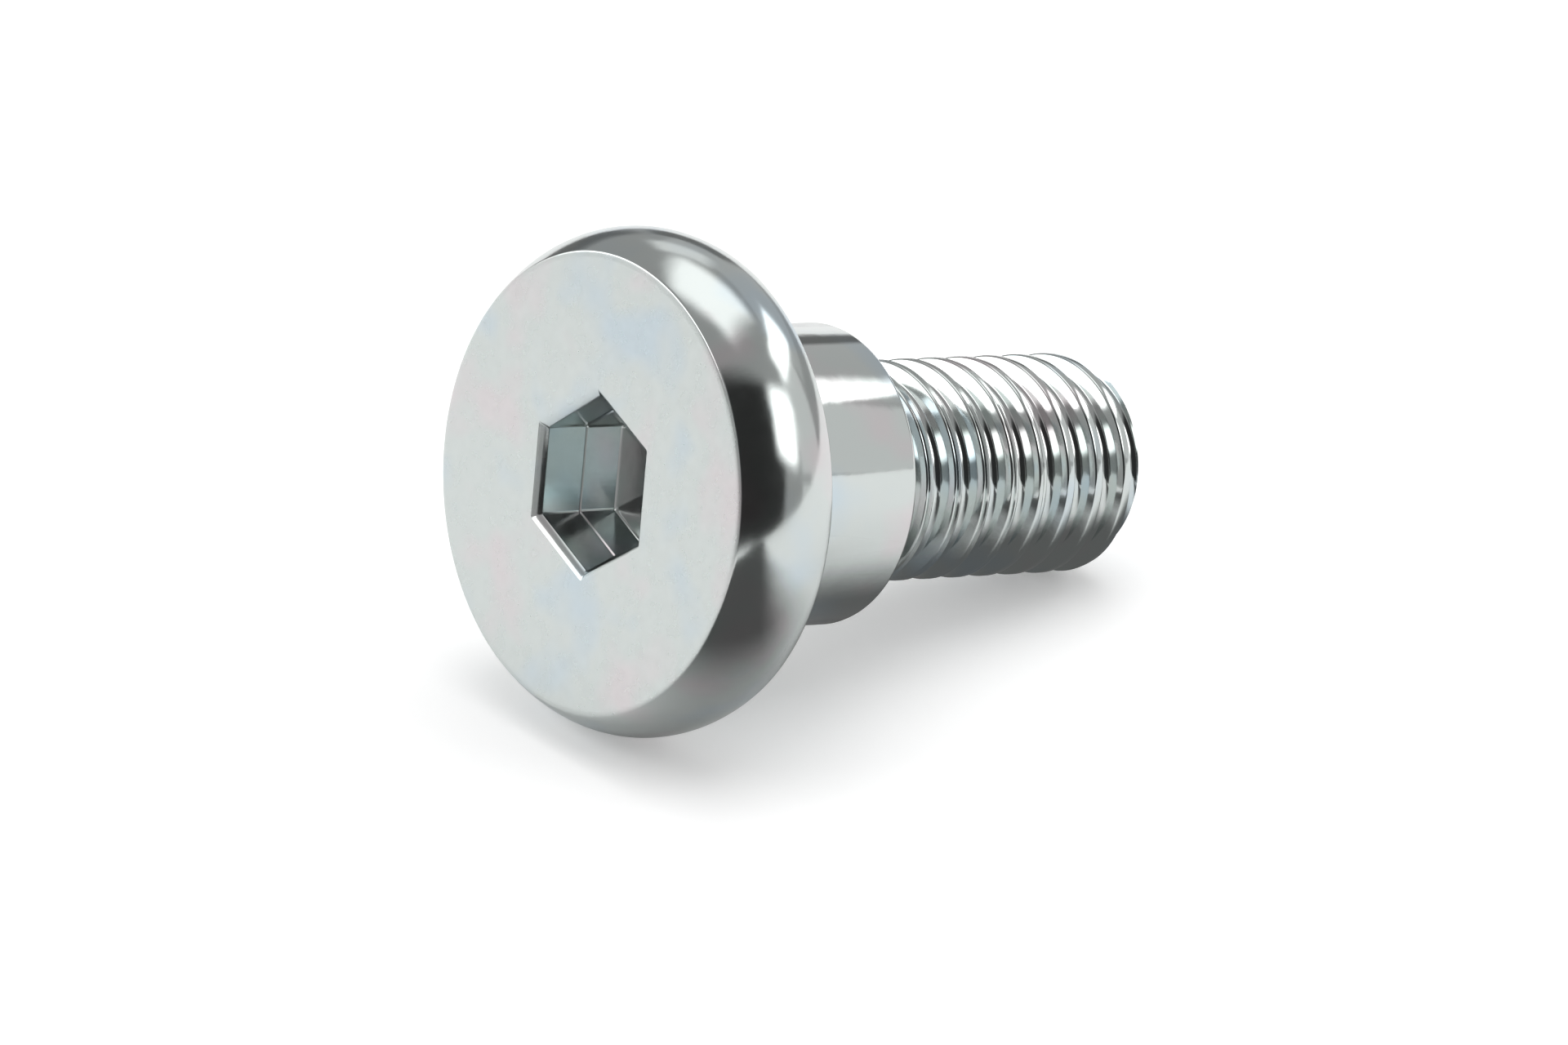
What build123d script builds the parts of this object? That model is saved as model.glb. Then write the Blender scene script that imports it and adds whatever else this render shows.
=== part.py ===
from build123d import *
from math import ceil, cos, radians, sqrt, tan
import os

# Shoulder bolt, cold headed and thread rolled from one piece of steel. Millimetres, degrees.
# It stands on the flat face of its head: the origin is the middle of that face, and +Z runs
# along the axis, from the head through the shoulder to the end of the thread.

# head: a flat face, then a rim that bulges past the face and draws in to the underside
head_diameter = 13.4
head_height = 2.9
rim_overhang = 0.65
rim_arc = 2.5
underside_chamfer = 0.25

# shoulder: the plain cylinder that the mating part turns on
shoulder_diameter = 8.0
shoulder_length = 5.0
shoulder_chamfer = 0.15

# thread M6 x 1, right handed, from a short plain collar at the shoulder to a rounded nose
thread_diameter = 5.9
thread_pitch = 1.0
thread_length = 8.95
collar_length = 0.35
crest_flat = 0.2
root_flat = 0.16
flank_angle = 60
nose_round = 1.0
thread_lead = 1.65

# socket for a hexagon key, punched in two strokes, the deeper one a little narrower
key_flats = 4.0
socket_depth = 2.65
first_stroke = 1.45
stroke_step = 0.03
floor_angle = 6
mouth_chamfer = 0.19
socket_turn = 30

head_radius = head_diameter / 2
face_radius = head_radius - rim_overhang
shoulder_radius = shoulder_diameter / 2
thread_radius = thread_diameter / 2
shoulder_end = head_height + shoulder_length
thread_start = shoulder_end + collar_length

# the rim is one arc: bulge_height is where it is widest, and it ends at the underside
bulge_height = sqrt(rim_arc**2 - (rim_arc - rim_overhang) ** 2)
underside_radius = head_radius - rim_arc + sqrt(rim_arc**2 - (head_height - bulge_height) ** 2)

# one turn of the thread's groove, a V with a flat root, drawn past the crest by groove_rise,
# which keeps the outer edges of neighbouring turns apart
flank_slope = tan(radians(flank_angle / 2))
groove_rise = crest_flat / 4 / flank_slope
groove_mouth = thread_pitch - crest_flat
groove_depth = (groove_mouth - root_flat) / 2 / flank_slope
groove_top = groove_mouth / 2 + groove_rise * flank_slope

with BuildPart() as groove_turn:
    with BuildLine() as turn_path:
        Helix(thread_pitch, thread_pitch, thread_radius, center=(0, 0, thread_start - thread_lead))
    with BuildSketch(Plane(turn_path.line @ 0, x_dir=(1, 0, 0), z_dir=turn_path.line % 0)):
        with BuildLine():
            Polyline(
                (groove_rise, -groove_top),
                (-groove_depth, -root_flat / 2),
                (-groove_depth, root_flat / 2),
                (groove_rise, groove_top),
                close=True,
            )
        make_face()
    sweep(path=turn_path.line, is_frenet=True)

# threaded shank: the groove starts below the shank and leaves past its nose, so the thread
# is whole at the collar and fades over the nose
groove_turns = ceil((thread_length + 2 * thread_lead) / thread_pitch)

with BuildPart() as shank:
    with BuildSketch(Plane.XY.offset(thread_start)):
        Circle(thread_radius)
    extrude(amount=thread_length)
    fillet(shank.faces().sort_by(Axis.Z)[-1].edges(), nose_round)
    with Locations(*[(0, 0, turn * thread_pitch) for turn in range(groove_turns)]):
        add(groove_turn.part, mode=Mode.SUBTRACT)

# socket: the shape of the punch, a hexagon bar with a step and a shallow conical nose
corner_radius = key_flats / 2 / cos(radians(30))
floor_slope = tan(radians(floor_angle))
punch_length = socket_depth + corner_radius * floor_slope

with BuildPart() as punch:
    with BuildSketch():
        RegularPolygon(key_flats / 2, 6, major_radius=False, rotation=socket_turn)
    extrude(amount=first_stroke)
    with BuildSketch():
        RegularPolygon(key_flats / 2 - stroke_step, 6, major_radius=False, rotation=socket_turn)
    extrude(amount=punch_length)
    with BuildSketch(Plane.XZ):
        with BuildLine():
            Polyline(
                (0, 0),
                (key_flats, 0),
                (key_flats, punch_length - key_flats * floor_slope),
                (0, punch_length),
                close=True,
            )
        make_face()
    revolve(axis=Axis.Z, mode=Mode.INTERSECT)

with BuildPart() as shoulder_bolt:
    # head, shoulder and collar, revolved from one outline
    with BuildSketch(Plane.XZ) as outline:
        with BuildLine():
            Line((0, 0), (face_radius, 0))
            ThreePointArc((face_radius, 0), (head_radius, bulge_height), (underside_radius, head_height))
            Polyline(
                (underside_radius, head_height),
                (shoulder_radius, head_height),
                (shoulder_radius, shoulder_end),
                (thread_radius, shoulder_end),
                (thread_radius, thread_start),
                (0, thread_start),
                (0, 0),
            )
        make_face()
        underside_corner = outline.vertices().group_by(Axis.Y)[1].sort_by(Axis.X)[-1]
        chamfer(underside_corner, underside_chamfer)
        shoulder_corner = outline.vertices().group_by(Axis.Y)[-2].sort_by(Axis.X)[-1]
        chamfer(shoulder_corner, shoulder_chamfer)
    revolve(axis=Axis.Z)

    add(punch.part, mode=Mode.SUBTRACT)
    mouth = shoulder_bolt.edges().filter_by(GeomType.LINE).group_by(Axis.Z)[0]
    chamfer(mouth, mouth_chamfer)

    add(shank.part)

shoulder_bolt.part.label = "shoulder_bolt"

os.makedirs("parts", exist_ok=True)
export_step(shoulder_bolt.part, "parts/shoulder_bolt.step")
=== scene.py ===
from math import asin, cos, pi, radians, sin, tan

import bmesh
import bpy
from mathutils import Matrix, Quaternion, Vector


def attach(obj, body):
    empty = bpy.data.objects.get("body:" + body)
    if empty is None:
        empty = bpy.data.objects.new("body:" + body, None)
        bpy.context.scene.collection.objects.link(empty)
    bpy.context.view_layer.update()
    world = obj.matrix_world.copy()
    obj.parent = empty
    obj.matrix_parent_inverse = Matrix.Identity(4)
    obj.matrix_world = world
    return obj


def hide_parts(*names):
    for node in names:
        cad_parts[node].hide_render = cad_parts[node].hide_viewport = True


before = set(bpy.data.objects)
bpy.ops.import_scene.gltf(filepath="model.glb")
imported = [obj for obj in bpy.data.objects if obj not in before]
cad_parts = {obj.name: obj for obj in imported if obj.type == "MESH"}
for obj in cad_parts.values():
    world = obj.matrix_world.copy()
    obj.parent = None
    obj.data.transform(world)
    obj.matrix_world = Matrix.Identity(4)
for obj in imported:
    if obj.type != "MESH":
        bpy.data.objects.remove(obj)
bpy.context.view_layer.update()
mm = 0.001  # lengths below are in millimetres, unless a note says otherwise
print("frame loaded")

near = 0.002  # two points closer than this are the same
upright = Vector((0, 0, 1))


def deselectObjects():
    bpy.ops.object.select_all(action="DESELECT")


# selects the edit mesh's vertices, edges or faces that pass a test
def chooseBy(kind, test):
    bpy.ops.mesh.select_mode(type=kind)
    bpy.ops.mesh.select_all(action="DESELECT")
    bm = bmesh.from_edit_mesh(bpy.context.edit_object.data)
    items = {"VERT": bm.verts, "EDGE": bm.edges, "FACE": bm.faces}[kind]
    for item in items:
        if test(item):
            item.select_set(True)
    bm.select_flush_mode()
    bmesh.update_edit_mesh(bpy.context.edit_object.data)


# a line of edges through points given as radius and height, left in edit mode
def drawOutline(name, points):
    deselectObjects()
    bpy.ops.mesh.primitive_plane_add(size=mm)
    outline = bpy.context.object
    outline.name = outline.data.name = name
    bpy.ops.object.mode_set(mode="EDIT")
    bpy.ops.mesh.select_all(action="SELECT")
    bpy.ops.mesh.merge(type="CENTER")
    here = Vector((0, 0, 0))
    for step, (radius, height) in enumerate(points):
        there = Vector((radius * mm, 0, height * mm))
        if step == 0:
            bpy.ops.transform.translate(value=there - here)
        else:
            bpy.ops.mesh.extrude_region_move(TRANSFORM_OT_translate={"value": there - here})
        here = there
    return outline


def isAt(vert, radius, height):
    return (vert.co - Vector((radius * mm, 0, height * mm))).length < near * mm


def roundCorner(radius, height, size, segments):
    chooseBy("VERT", lambda v: isAt(v, radius, height))
    bpy.ops.mesh.bevel(offset=size * mm, offset_type="OFFSET", segments=segments, affect="VERTICES")


# merges doubles, drops slivers and turns the faces outwards
def closeSkin():
    bpy.ops.mesh.select_mode(type="VERT")
    bpy.ops.mesh.select_all(action="SELECT")
    bpy.ops.mesh.remove_doubles(threshold=0.0005 * mm)
    bpy.ops.mesh.dissolve_degenerate(threshold=0.0001 * mm)
    bpy.ops.mesh.select_all(action="SELECT")
    bpy.ops.mesh.normals_make_consistent(inside=False)


def latheOutline(steps):
    bpy.ops.mesh.select_all(action="SELECT")
    bpy.ops.mesh.spin(steps=steps, angle=2 * pi, center=(0, 0, 0), axis=(0, 0, 1))
    closeSkin()
    bpy.ops.object.mode_set(mode="OBJECT")


def joinSolid(piece, other, operation):
    deselectObjects()
    bpy.context.view_layer.objects.active = piece
    piece.select_set(True)
    cut = piece.modifiers.new("cut", "BOOLEAN")
    cut.operation, cut.object, cut.solver = operation, other, "EXACT"
    bpy.ops.object.modifier_apply(modifier=cut.name)
    bpy.data.objects.remove(other, do_unlink=True)


head = {
    "height": 2.9,
    "faceRound": 0.16,
    "rimCentre": (4.193, 1.68),  # radius and height of the middle of the rim's arc
    "rimRadius": 2.5,
    "rimSteps": 30,
    "undersideRound": 0.084,
    "steps": 256,
}
shoulder = {
    "radius": 4.0,
    "end": 7.9,
    "rootRound": 0.15,
    "endRound": 0.16,
    "collarRadius": 2.955,  # just over the crests, so that the two skins don't coincide
    "collarRound": 0.1,
    "collarEnd": 8.25,
    "runOutRadius": 2.3,  # the cone inside the first turn
    "runOutEnd": 8.9,
}


def makeHead():
    centreR, centreZ = head["rimCentre"]
    reach = head["rimRadius"]
    first = asin(-centreZ / reach)
    last = asin((head["height"] - centreZ) / reach)
    rim = []
    for step in range(head["rimSteps"] + 1):
        turn = first + (last - first) * step / head["rimSteps"]
        rim.append((centreR + reach * cos(turn), centreZ + reach * sin(turn)))
    foot = (shoulder["radius"], head["height"])
    edge = (shoulder["radius"], shoulder["end"])
    collar = (shoulder["collarRadius"], shoulder["end"])
    points = [(0, 0), *rim, foot, edge, collar]
    points += [
        (shoulder["collarRadius"], shoulder["collarEnd"]),
        (shoulder["runOutRadius"], shoulder["runOutEnd"]),
        (0, shoulder["runOutEnd"]),
    ]
    piece = drawOutline("boltHead", points)
    roundCorner(*rim[0], head["faceRound"], 6)
    roundCorner(*rim[-1], head["undersideRound"], 5)
    roundCorner(*foot, shoulder["rootRound"], 5)
    roundCorner(*edge, shoulder["endRound"], 3)
    roundCorner(*collar, shoulder["collarRound"], 3)
    latheOutline(head["steps"])
    return piece


socket = {
    "flats": 4.0,
    "depth": 2.65,
    "stepDepth": 1.45,  # where the second stroke of the punch begins
    "step": 0.045,
    "mouth": 0.19,
    "noseAngle": 6,  # degrees, the floor's cone
    "noseReach": 1.5,  # its ridges meet inside this radius
    "floorBevel": 0.07,
    "cornerRound": 0.05,
    "over": 0.45,  # how far the punch's block stands past the corners
    "blockDepth": 0.4,
}


def makePunch():
    flats, mouth, shrink = socket["flats"], socket["mouth"], 2 * socket["step"]
    slant = cos(radians(30))  # from a hexagon's corner radius to its flat
    block = flats / 2 / slant + socket["over"]
    blockTop = -0.07
    middle = (blockTop - socket["blockDepth"] / 2) * mm
    deselectObjects()
    bpy.ops.mesh.primitive_cylinder_add(
        vertices=6, radius=block * mm, depth=socket["blockDepth"] * mm, location=(0, 0, middle)
    )
    punch = bpy.context.object
    punch.name = "socketPunch"
    bpy.ops.object.transform_apply(location=True, rotation=True, scale=True)
    bpy.ops.object.mode_set(mode="EDIT")

    chooseBy("FACE", lambda f: f.normal.z > 0.9)
    rings = [  # depth below the face, distance across flats
        (-0.025, flats + 2 * (mouth + 0.08)),  # the mouth's softened edge
        (0.025, flats + 2 * (mouth - 0.02)),
        (mouth - 0.01, flats + 0.02),  # the foot of its chamfer
        (mouth + 0.02, flats),
        (socket["stepDepth"], flats),  # the step between the two strokes
        (socket["stepDepth"] + 0.02, flats - shrink),
        (socket["depth"] - 0.06, flats - shrink),  # the floor's bevel
        (socket["depth"], flats - shrink - 2 * socket["floorBevel"]),
    ]
    here, wide = blockTop, block * 2 * slant
    for depth, across in rings:
        down = {"value": (0, 0, (depth - here) * mm)}
        bpy.ops.mesh.extrude_region_move(TRANSFORM_OT_translate=down)
        ratio = across / wide
        bpy.ops.transform.resize(value=(ratio, ratio, 1), center_override=(0, 0, depth * mm))
        here, wide = depth, across
    nose = wide / 2 * tan(radians(socket["noseAngle"])) * mm
    bpy.ops.mesh.extrude_region_move(TRANSFORM_OT_translate={"value": (0, 0, nose)})
    bpy.ops.mesh.merge(type="CENTER")
    closeSkin()

    # the punch's six corners, but not the ridges of its pointed end
    def isCornerEdge(edge):
        low, high = edge.verts
        climbs = abs(low.co.z - high.co.z) > 0.001 * mm
        return climbs and min(low.co.xy.length, high.co.xy.length) > socket["noseReach"] * mm

    chooseBy("EDGE", isCornerEdge)
    bpy.ops.mesh.bevel(offset=socket["cornerRound"] * mm, segments=3, affect="EDGES")
    closeSkin()
    bpy.ops.object.mode_set(mode="OBJECT")
    return punch


thread = {
    "radius": 2.95,
    "rootRadius": 2.49,
    "pitch": 1.0,
    "turns": 13,
    "firstRoot": 5.6,  # height of a groove's middle on the +X side
    "rootRound": 0.24,
    "rootSteps": 7,
    "flank": 26,  # degrees between a flank and the plane across the bolt
    "crestRound": 0.045,
    "start": 8.06,
    "end": 17.2,
    "capReach": 0.6,  # how far the cones that close the skin stand past its ends
    "noseRound": 1.0,
    "noseSteps": 16,
    "envelopeRadius": 3.4,
    "envelopeSlope": 0.3,
    "steps": 120,
}
seam = {  # the line that rolling leaves along the crests
    "width": 0.15,
    "depth": 0.1,
    "over": 0.1,  # how far the cutter stands past the crests
    "fadeFrom": 11.3,
    "fade": 0.045,  # how much shallower it gets in each millimetre
    "turns": 7,
}


def applyScrew(skin, pitch, turns, steps):
    bpy.ops.object.mode_set(mode="OBJECT")
    turn = skin.modifiers.new("turn", "SCREW")
    turn.axis, turn.angle, turn.screw_offset = "Z", 2 * pi, pitch * mm
    turn.iterations, turn.steps, turn.render_steps = turns, steps, steps
    turn.use_merge_vertices, turn.merge_threshold = True, 0.0005 * mm
    turn.use_smooth_shade = False
    bpy.ops.object.modifier_apply(modifier=turn.name)


def makeThread():
    half = thread["pitch"] / 2
    base, crest, size = thread["firstRoot"], thread["radius"], thread["rootRound"]
    arc = []  # half of a groove's rounded root
    for step in range(thread["rootSteps"] + 1):
        turn = radians(step * (90 - thread["flank"]) / thread["rootSteps"])
        arc.append((thread["rootRadius"] + size - size * cos(turn), size * sin(turn)))
    crestStart = arc[-1][1] + (crest - arc[-1][0]) * tan(radians(thread["flank"]))
    rise = [*arc, (crest, crestStart), (crest, half)]
    points = [(r, base + z) for r, z in rise]
    points += [(r, base + 2 * half - z) for r, z in reversed(rise[:-1])]
    skin = drawOutline("boltThread", points)
    roundCorner(crest, base + crestStart, thread["crestRound"], 3)
    roundCorner(crest, base + 2 * half - crestStart, thread["crestRound"], 3)
    applyScrew(skin, thread["pitch"], thread["turns"], thread["steps"])
    bpy.ops.object.mode_set(mode="EDIT")
    closeSkin()

    # a cone closes each end, outside what the nose envelope keeps
    length = thread["pitch"] * thread["turns"]
    middle = (base + length / 2) * mm
    reach = thread["capReach"]
    for low, point in ((True, base - reach), (False, base + length + reach)):
        chooseBy("VERT", lambda v: v.is_boundary and (v.co.z < middle) == low)
        bpy.ops.mesh.extrude_edges_move()
        bpy.ops.mesh.merge(type="CENTER")
        bm = bmesh.from_edit_mesh(skin.data)
        tip = [v for v in bm.verts if v.select][0]
        tip.co = (0, 0, point * mm)
        bmesh.update_edit_mesh(skin.data)
    closeSkin()
    bpy.ops.object.mode_set(mode="OBJECT")
    return skin


def makeSeamCutter():
    base = thread["firstRoot"] + thread["pitch"] / 2 + 1
    crest, wide = thread["radius"], seam["width"]
    outer = crest + seam["over"]
    points = [(outer, base - wide), (crest - seam["depth"], base), (outer, base + wide)]
    cutter = drawOutline("seamCutter", points)
    chooseBy("VERT", lambda v: isAt(v, outer, base - wide) or isAt(v, outer, base + wide))
    bpy.ops.mesh.edge_face_add()
    applyScrew(cutter, thread["pitch"], seam["turns"], thread["steps"])
    bpy.ops.object.mode_set(mode="EDIT")
    closeSkin()
    bpy.ops.mesh.fill_holes(sides=0)
    closeSkin()
    bm = bmesh.from_edit_mesh(cutter.data)
    for vert in bm.verts:  # the seam gets shallower towards the tip
        rise = max(0, vert.co.z / mm - seam["fadeFrom"])
        vert.co.xy *= 1 + seam["fade"] * rise / crest
    bmesh.update_edit_mesh(cutter.data)
    bpy.ops.object.mode_set(mode="OBJECT")
    return cutter


# the space that the thread may fill, with the tip's rounded nose
def makeNose():
    size, wide = thread["noseRound"], thread["envelopeRadius"]
    z = thread["end"] - size
    inner = thread["radius"] - size
    points = [(0, thread["start"]), (wide, thread["start"]), (wide, z - thread["envelopeSlope"])]
    for step in range(thread["noseSteps"] + 1):
        turn = pi / 2 * step / thread["noseSteps"]
        points.append((inner + size * cos(turn), z + size * sin(turn)))
    points.append((0, thread["end"]))
    nose = drawOutline("noseEnvelope", points)
    latheOutline(thread["steps"])
    return nose


bolt = makeHead()
joinSolid(bolt, makePunch(), "DIFFERENCE")
print("head and socket made", len(bolt.data.polygons))
threadPiece = makeThread()
print("thread made", len(threadPiece.data.polygons))
joinSolid(threadPiece, makeSeamCutter(), "DIFFERENCE")
joinSolid(threadPiece, makeNose(), "INTERSECT")
joinSolid(bolt, threadPiece, "UNION")
bolt.name = bolt.data.name = "shoulderBolt"
print("bolt joined", len(bolt.data.polygons))

edges = {"smoothAngle": 32, "mouthReach": 3}  # degrees, radius round the socket's mouth

deselectObjects()
bpy.context.view_layer.objects.active = bolt
bolt.select_set(True)
bpy.ops.object.mode_set(mode="EDIT")
closeSkin()
bpy.ops.object.mode_set(mode="OBJECT")
bpy.ops.object.shade_smooth_by_angle(angle=radians(edges["smoothAngle"]))
bpy.ops.object.mode_set(mode="EDIT")


# the socket's mouth stays a sharp line on the face
def isMouthVert(vert):
    return vert.co.z < 0.001 * mm and vert.co.xy.length < edges["mouthReach"] * mm


chooseBy("EDGE", lambda e: all(isMouthVert(v) for v in e.verts))
bpy.ops.mesh.mark_sharp()
bpy.ops.object.mode_set(mode="OBJECT")
weights = bolt.modifiers.new("weights", "WEIGHTED_NORMAL")
weights.keep_sharp = True
bpy.ops.object.modifier_apply(modifier=weights.name)


# an sRGB hex colour as linear values
def linear(hexColour):
    parts = [int(hexColour[i : i + 2], 16) / 255 for i in (1, 3, 5)]
    return (*[c / 12.92 if c <= 0.04045 else ((c + 0.055) / 1.055) ** 2.4 for c in parts], 1)


def addNode(tree, kind, settings=None, inputs=None):
    node = tree.nodes.new(kind)
    for key, value in (settings or {}).items():
        setattr(node, key, value)
    for key, value in (inputs or {}).items():
        if isinstance(value, bpy.types.NodeSocket):
            tree.links.new(value, node.inputs[key])
        else:
            node.inputs[key].default_value = value
    return node


def startMaterial(name):
    material = bpy.data.materials.new(name)
    material.use_nodes = True
    material.node_tree.nodes.clear()
    return material, material.node_tree


# bright zinc plate, clear passivated: a pale mirror with faint blue and pink drifts
zinc = {
    "neutral": "#D5DBD9",
    "cool": "#CCD8DE",
    "warm": "#DBD7D8",
    "patch": 3.0,  # width of a colour drift
    "coolRange": (0.52, 0.68),  # where in the drifts' noise each tint comes in
    "warmRange": (0.46, 0.34),
    "faceRoughness": 0.25,
    "rimRoughness": 0.13,
    "shoulderRoughness": 0.07,
    "threadRoughness": 0.1,
    "socketRoughness": 0.16,
    "mottle": 0.5,  # width of a duller or brighter spot
    "mottleShare": (0.85, 1.2),  # its roughness, as a share of the finish round it
    "wave": 0.9,  # width of the slow waves that heading leaves
    "faceWaveHeight": 0.0025,
    "waveHeight": 0.006,
    "grain": 0.09,  # plating grain is finer than this, drawn as coarse as it shows
    "grainHeight": 0.0003,
    "faceEdge": (0.01, 0.06),  # heights over which one finish turns into the next
    "shoulderEdge": (2.8, 2.95),
    "threadEdge": (7.85, 8.0),
    "socketEdge": (2.4, 2.6),  # radii over which the socket's finish ends
}


def makeZinc():
    material, tree = startMaterial("bright zinc plated steel")
    place = addNode(tree, "ShaderNodeTexCoord").outputs["Object"]
    height = addNode(tree, "ShaderNodeSeparateXYZ", {}, {0: place}).outputs["Z"]
    flat = addNode(tree, "ShaderNodeVectorMath", {"operation": "MULTIPLY"}, {0: place, 1: (1, 1, 0)})
    reach = addNode(tree, "ShaderNodeVectorMath", {"operation": "LENGTH"}, {0: flat.outputs[0]}).outputs["Value"]

    def step(value, start, end):
        ends = {"Value": value, "From Min": start * mm, "From Max": end * mm}
        return addNode(tree, "ShaderNodeMapRange", {"interpolation_type": "SMOOTHSTEP"}, ends).outputs[0]

    def blend(factor, first, second, kind="FLOAT"):
        node = addNode(tree, "ShaderNodeMix", {"data_type": kind})
        slots = {"FLOAT": (2, 3, 0), "RGBA": (6, 7, 2)}[kind]
        for slot, value in ((0, factor), (slots[0], first), (slots[1], second)):
            if isinstance(value, bpy.types.NodeSocket):
                tree.links.new(value, node.inputs[slot])
            else:
                node.inputs[slot].default_value = value
        return node.outputs[slots[2]]

    def noise(width, detail, settings=None):
        inputs = {"Vector": place, "Scale": 1 / (width * mm), "Detail": detail, **(settings or {})}
        return addNode(tree, "ShaderNodeTexNoise", {}, inputs).outputs[0]

    offFace = step(height, *zinc["faceEdge"])
    onShoulder = step(height, *zinc["shoulderEdge"])
    onThread = step(height, *zinc["threadEdge"])
    outside = step(reach, *zinc["socketEdge"])  # 0 in the socket

    patches = noise(zinc["patch"], 2.0, {"Roughness": 0.5})
    coolEnds = {"Value": patches, "From Min": zinc["coolRange"][0], "From Max": zinc["coolRange"][1]}
    warmEnds = {"Value": patches, "From Min": zinc["warmRange"][0], "From Max": zinc["warmRange"][1]}
    cool = addNode(tree, "ShaderNodeMapRange", {}, coolEnds).outputs[0]
    warm = addNode(tree, "ShaderNodeMapRange", {}, warmEnds).outputs[0]
    colour = blend(cool, linear(zinc["neutral"]), linear(zinc["cool"]), "RGBA")
    colour = blend(warm, colour, linear(zinc["warm"]), "RGBA")

    # satin face, bright rim and shoulder, duller thread and socket
    rough = blend(offFace, zinc["faceRoughness"], zinc["rimRoughness"])
    rough = blend(onShoulder, rough, zinc["shoulderRoughness"])
    rough = blend(onThread, rough, zinc["threadRoughness"])
    inner = blend(offFace, zinc["faceRoughness"], zinc["socketRoughness"])
    inner = blend(onThread, inner, zinc["threadRoughness"])
    rough = blend(outside, inner, rough)
    spots = {"Value": noise(zinc["mottle"], 3.0), "From Min": 0.3, "From Max": 0.7}
    spots.update({"To Min": zinc["mottleShare"][0], "To Max": zinc["mottleShare"][1]})
    vary = addNode(tree, "ShaderNodeMapRange", {}, spots).outputs[0]
    rough = addNode(tree, "ShaderNodeMath", {"operation": "MULTIPLY"}, {0: rough, 1: vary}).outputs[0]

    # slow waves, then the fine grain of the plating
    waveHeight = blend(offFace, zinc["faceWaveHeight"] * mm, zinc["waveHeight"] * mm)
    waves = {"Strength": 1.0, "Distance": waveHeight, "Height": noise(zinc["wave"], 1.5)}
    relief = addNode(tree, "ShaderNodeBump", {}, waves).outputs[0]
    grain = {"Strength": 1.0, "Distance": zinc["grainHeight"] * mm, "Height": noise(zinc["grain"], 2.0)}
    relief = addNode(tree, "ShaderNodeBump", {}, {**grain, "Normal": relief}).outputs[0]

    finish = {"Metallic": 1.0, "Base Color": colour, "Roughness": rough, "Normal": relief}
    shader = addNode(tree, "ShaderNodeBsdfPrincipled", {}, finish)
    addNode(tree, "ShaderNodeOutputMaterial", {}, {0: shader.outputs[0]})
    return material


bolt.data.materials.clear()
bolt.data.materials.append(makeZinc())
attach(bolt, "root")
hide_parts("shoulder_bolt")
print("material set")

cameraPlan = {
    "eye": (153.268, 170.563, -189.181),
    "aim": (1.2645, 3.2582, 3.82),
    "roll": 87.1,  # degrees
    "lens": 262.5,
    "sensor": 36,
}
eye = Vector(cameraPlan["eye"]) * mm
look = (Vector(cameraPlan["aim"]) * mm - eye).to_track_quat("-Z", "Y")
deselectObjects()
bpy.ops.object.camera_add(location=eye)
camera = bpy.context.object
camera.rotation_mode = "QUATERNION"
camera.rotation_quaternion = look @ Quaternion(upright, radians(cameraPlan["roll"]))
camera.data.lens, camera.data.sensor_width = cameraPlan["lens"], cameraPlan["sensor"]
camera.data.clip_start, camera.data.clip_end = 0.01, 10  # metres
bpy.context.scene.camera = camera
view = camera.rotation_quaternion.to_matrix()
cameraRight, cameraUp, cameraBack = view.col[0], view.col[1], view.col[2]


# a direction from the bolt: azimuth 0 is towards the camera and 90 to its right
def fromCamera(azimuth, elevation):
    turn, lift = radians(azimuth), radians(elevation)
    return cameraRight * cos(lift) * sin(turn) + cameraUp * sin(lift) + cameraBack * cos(lift) * cos(turn)


# the table that the bolt lies on beside the standing frame, touching its rim and its last crests
lean = {"side": 160, "tilt": 14.8, "gap": 6.99}  # degrees, degrees, distance from the origin
across = Vector((cos(radians(lean["side"])), sin(radians(lean["side"])), 0))
tableUp = -(across * cos(radians(lean["tilt"])) + upright * sin(radians(lean["tilt"])))
floors = {
    "size": 1.6,  # metres
    "paper": 0.85,
    "tableGlow": 0.3,
    "groundGlow": 0.6,
    "glossyShare": 0.25,  # how much of the glow the bolt's reflections show
    "groundDrop": 0.03,  # keeps the ground off the face that stands on it
}


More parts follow.
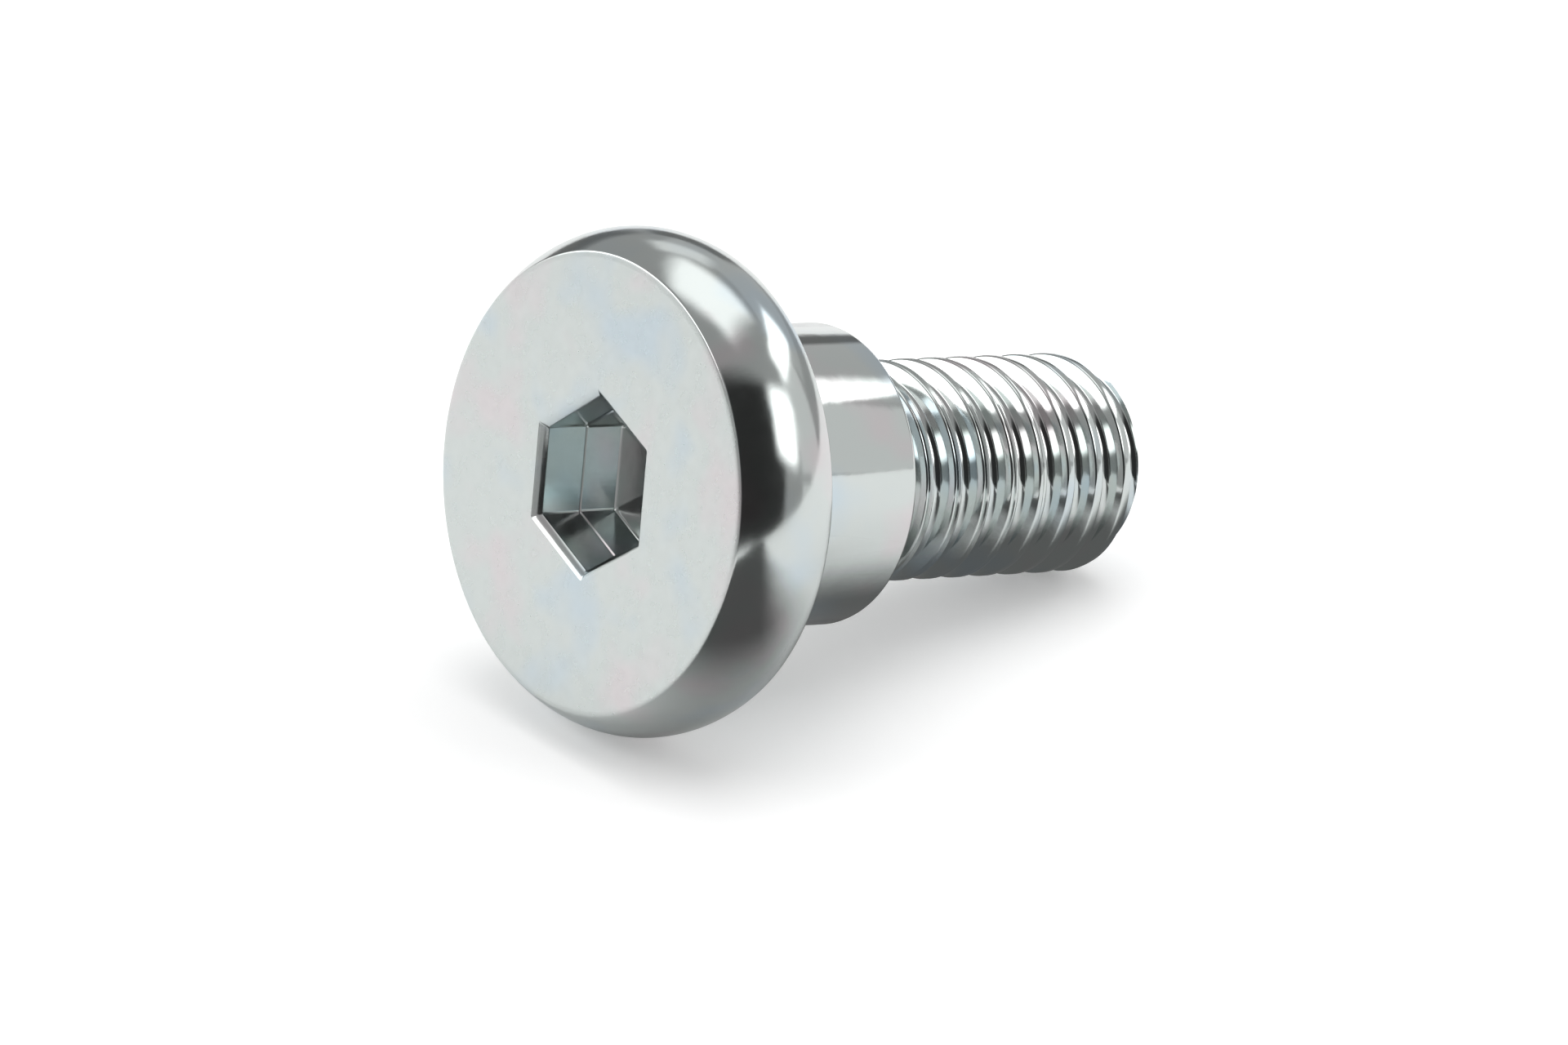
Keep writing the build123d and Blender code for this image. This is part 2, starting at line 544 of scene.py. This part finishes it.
# pale paper, seen from above only: its glow makes it as white as the background
def makeFloor(name, place, up, cameraGlow):
    deselectObjects()
    bpy.ops.mesh.primitive_plane_add(size=floors["size"], location=place)
    floor = bpy.context.object
    floor.name = name
    floor.rotation_mode = "QUATERNION"
    floor.rotation_quaternion = up.to_track_quat("Z", "Y")
    material, tree = startMaterial(name + " paper")
    paths = addNode(tree, "ShaderNodeLightPath").outputs
    shade = (floors["paper"],) * 3 + (1,)
    paper = addNode(tree, "ShaderNodeBsdfDiffuse", {}, {"Color": shade})
    share = {0: paths["Is Glossy Ray"], 1: floors["glossyShare"]}
    seen = addNode(tree, "ShaderNodeMath", {"operation": "MULTIPLY"}, share)
    rays = {0: paths["Is Camera Ray"], 1: seen.outputs[0]}
    seen = addNode(tree, "ShaderNodeMath", {"operation": "ADD"}, rays)
    amount = {0: seen.outputs[0], 1: cameraGlow}
    strength = addNode(tree, "ShaderNodeMath", {"operation": "MULTIPLY"}, amount)
    shine = {"Color": (1, 1, 1, 1), "Strength": strength.outputs[0]}
    glow = addNode(tree, "ShaderNodeEmission", {}, shine)
    both = addNode(tree, "ShaderNodeAddShader", {}, {0: paper.outputs[0], 1: glow.outputs[0]})
    behind = addNode(tree, "ShaderNodeNewGeometry").outputs["Backfacing"]
    clear = addNode(tree, "ShaderNodeBsdfTransparent")
    sides = {0: behind, 1: both.outputs[0], 2: clear.outputs[0]}
    side = addNode(tree, "ShaderNodeMixShader", {}, sides)
    addNode(tree, "ShaderNodeOutputMaterial", {}, {0: side.outputs[0]})
    floor.data.materials.append(material)
    return floor


table = makeFloor("table", -tableUp * lean["gap"] * mm, tableUp, floors["tableGlow"])
ground = makeFloor("ground", -upright * floors["groundDrop"] * mm, upright, floors["groundGlow"])
ground.visible_diffuse = ground.visible_glossy = ground.visible_shadow = False
ground.visible_transmission = table.visible_shadow = False
print("floors made")

roomLevel = 0.35  # the studio's dim walls, while the camera sees white
world = bpy.data.worlds.new("studio")
bpy.context.scene.world = world
world.use_nodes = True
sky = world.node_tree
sky.nodes.clear()
seen = addNode(sky, "ShaderNodeLightPath").outputs["Is Camera Ray"]
room = addNode(sky, "ShaderNodeBackground", {}, {"Color": (roomLevel,) * 3 + (1,), "Strength": 1.0})
white = addNode(sky, "ShaderNodeBackground", {}, {"Color": (1, 1, 1, 1), "Strength": 1.0})
pick = addNode(sky, "ShaderNodeMixShader", {}, {0: seen, 1: room.outputs[0], 2: white.outputs[0]})
addNode(sky, "ShaderNodeOutputWorld", {}, {0: pick.outputs[0]})


# a softbox, wall or black flag round the bolt: azimuth and elevation, width and height in degrees, its
# brightness, its distance in metres, and the share of its width and height that fades out
def card(azimuth, elevation, width, height, level, away, soft, turn=0):
    return {
        "azimuth": azimuth,
        "elevation": elevation,
        "width": width,
        "height": height,
        "level": level,
        "away": away,
        "soft": soft,
        "turn": turn,
    }


cards = {
    "topBox": card(60, 84, 52, 50, 1.35, 0.6, (0.5, 0.5)),
    "upperLeftBox": card(-80, 36, 74, 22, 2.4, 0.6, (0.1, 0.2)),
    "leftWall": card(-104, 8, 60, 44, 0.8, 0.8, (0.15, 0.15)),
    "rightBox": card(61, 21, 36, 36, 3.0, 0.6, (0.75, 0.6), turn=-12),
    "rightWall": card(92, 14, 34, 56, 0.68, 0.9, (0.2, 0.2)),
    "backBox": card(103, 43, 42, 16, 2.4, 0.6, (0.5, 0.35)),
    "backWall": card(142, 44, 56, 34, 0.48, 0.9, (0.15, 0.15)),
    "backFlag": card(172, 33, 20, 14, 0.16, 0.7, (0.3, 0.3)),
    "crownBox": card(175, 58, 26, 18, 0.85, 0.62, (0.5, 0.5)),
    "crownFlag": card(-158, 30, 34, 26, 0.15, 0.7, (0.5, 0.5)),
    "edgeStrip": card(81, 1, 30, 5, 0.4, 0.62, (0.6, 0.8)),
    "cameraFlag": card(20, 4, 74, 88, 0.03, 0.7, (0.25, 0.35)),
}


# an even glow that fades out along the edges of a square of side 1
def makeFadingGlow(name, plan):
    material, tree = startMaterial(name + " cloth")
    place = addNode(tree, "ShaderNodeTexCoord").outputs["Object"]
    parts = addNode(tree, "ShaderNodeSeparateXYZ", {}, {0: place})
    fades = []
    for axis in (0, 1):
        size = addNode(tree, "ShaderNodeMath", {"operation": "ABSOLUTE"}, {0: parts.outputs[axis]}).outputs[0]
        ends = {"Value": size, "From Min": 0.5, "From Max": 0.5 - plan["soft"][axis] / 2}
        fades.append(addNode(tree, "ShaderNodeMapRange", {"interpolation_type": "SMOOTHSTEP"}, ends))
    both = {0: fades[0].outputs[0], 1: fades[1].outputs[0]}
    fade = addNode(tree, "ShaderNodeMath", {"operation": "MULTIPLY"}, both)
    clear = addNode(tree, "ShaderNodeBsdfTransparent")
    light = addNode(tree, "ShaderNodeEmission", {}, {"Strength": plan["level"]})
    sides = {0: fade.outputs[0], 1: clear.outputs[0], 2: light.outputs[0]}
    glowSheet = addNode(tree, "ShaderNodeMixShader", {}, sides)
    addNode(tree, "ShaderNodeOutputMaterial", {}, {0: glowSheet.outputs[0]})
    return material


# a square sheet scaled to its width and height, facing along the third axis
def placeSheet(name, plan, place, size, axes, turn):
    deselectObjects()
    bpy.ops.mesh.primitive_plane_add(size=1, location=place)
    sheet = bpy.context.object
    sheet.name = name
    sheet.scale = (*size, 1)
    sheet.rotation_mode = "QUATERNION"
    square = Matrix(axes).transposed().to_quaternion()
    sheet.rotation_quaternion = square @ Quaternion(upright, radians(turn))
    sheet.data.materials.append(makeFadingGlow(name, plan))
    sheet.visible_camera = False
    return sheet


for name, plan in cards.items():
    away = plan["away"]
    way = fromCamera(plan["azimuth"], plan["elevation"])
    side = cameraUp.cross(way).normalized()
    size = [2 * away * tan(radians(plan[key] / 2)) for key in ("width", "height")]
    placeSheet(name, plan, way * away, size, (side, way.cross(side), way), plan["turn"])

# painted reflections: dark sheets just over the table, seen only in the bolt's reflections, that paint the table
# in front of it darker and its shadow under it darker: how far they lie to the right and to the front of the
# bolt, their size, their turn in degrees, and their lift off the table
paintedReflectionSheets = {
    # painted dark reflection: the table before the bolt, darker in its reflections than to the camera
    "frontPaintedReflection": {
        "right": 41.9,
        "front": 116.7,
        "wide": 50,
        "deep": 250,
        "turn": -25,
        "level": 0.09,
        "soft": (0.4, 0.1),
        "lift": 0.05,
    },
    "underPaintedShadow": {
        # painted shadow: the shade under the bolt, darker in its reflections than the key lamp's soft shadow
        # makes it
        "right": 12.0,
        "front": -6.8,
        "wide": 9.5,
        "deep": 22,
        "turn": 58,
        "level": 0.13,
        "soft": (0.8, 0.5),
        "lift": 0.1,
    },
}
tableRight = (cameraRight - tableUp * cameraRight.dot(tableUp)).normalized()
tableFront = tableRight.cross(tableUp)

for name, plan in paintedReflectionSheets.items():
    place = tableRight * plan["right"] + tableFront * plan["front"] - tableUp * (lean["gap"] - plan["lift"])
    size = (plan["wide"] * mm, plan["deep"] * mm)
    axes = (tableRight, -tableFront, tableUp)
    sheet = placeSheet(name, plan, place * mm, size, axes, -plan["turn"])
    sheet.visible_diffuse = sheet.visible_shadow = False

# the lamp over the table lights the paper and throws the soft shadow; metres, and shares of its distance
keyLamp = {"size": 0.55, "away": 0.5, "level": 1.36, "right": 0.12, "back": 0.1}
keyWay = (tableUp + cameraRight * keyLamp["right"] - cameraBack * keyLamp["back"]).normalized()
bpy.ops.object.light_add(type="AREA", location=keyWay * keyLamp["away"])
lamp = bpy.context.object
lamp.name = "keyLamp"
lamp.data.shape, lamp.data.size = "SQUARE", keyLamp["size"]
lamp.data.energy = keyLamp["level"] * pi * keyLamp["size"] ** 2
lamp.rotation_mode = "QUATERNION"
lamp.rotation_quaternion = keyWay.to_track_quat("Z", "Y")
lamp.visible_camera = lamp.visible_glossy = False
print("cards set")

bpy.context.scene.view_settings.view_transform = "Standard"
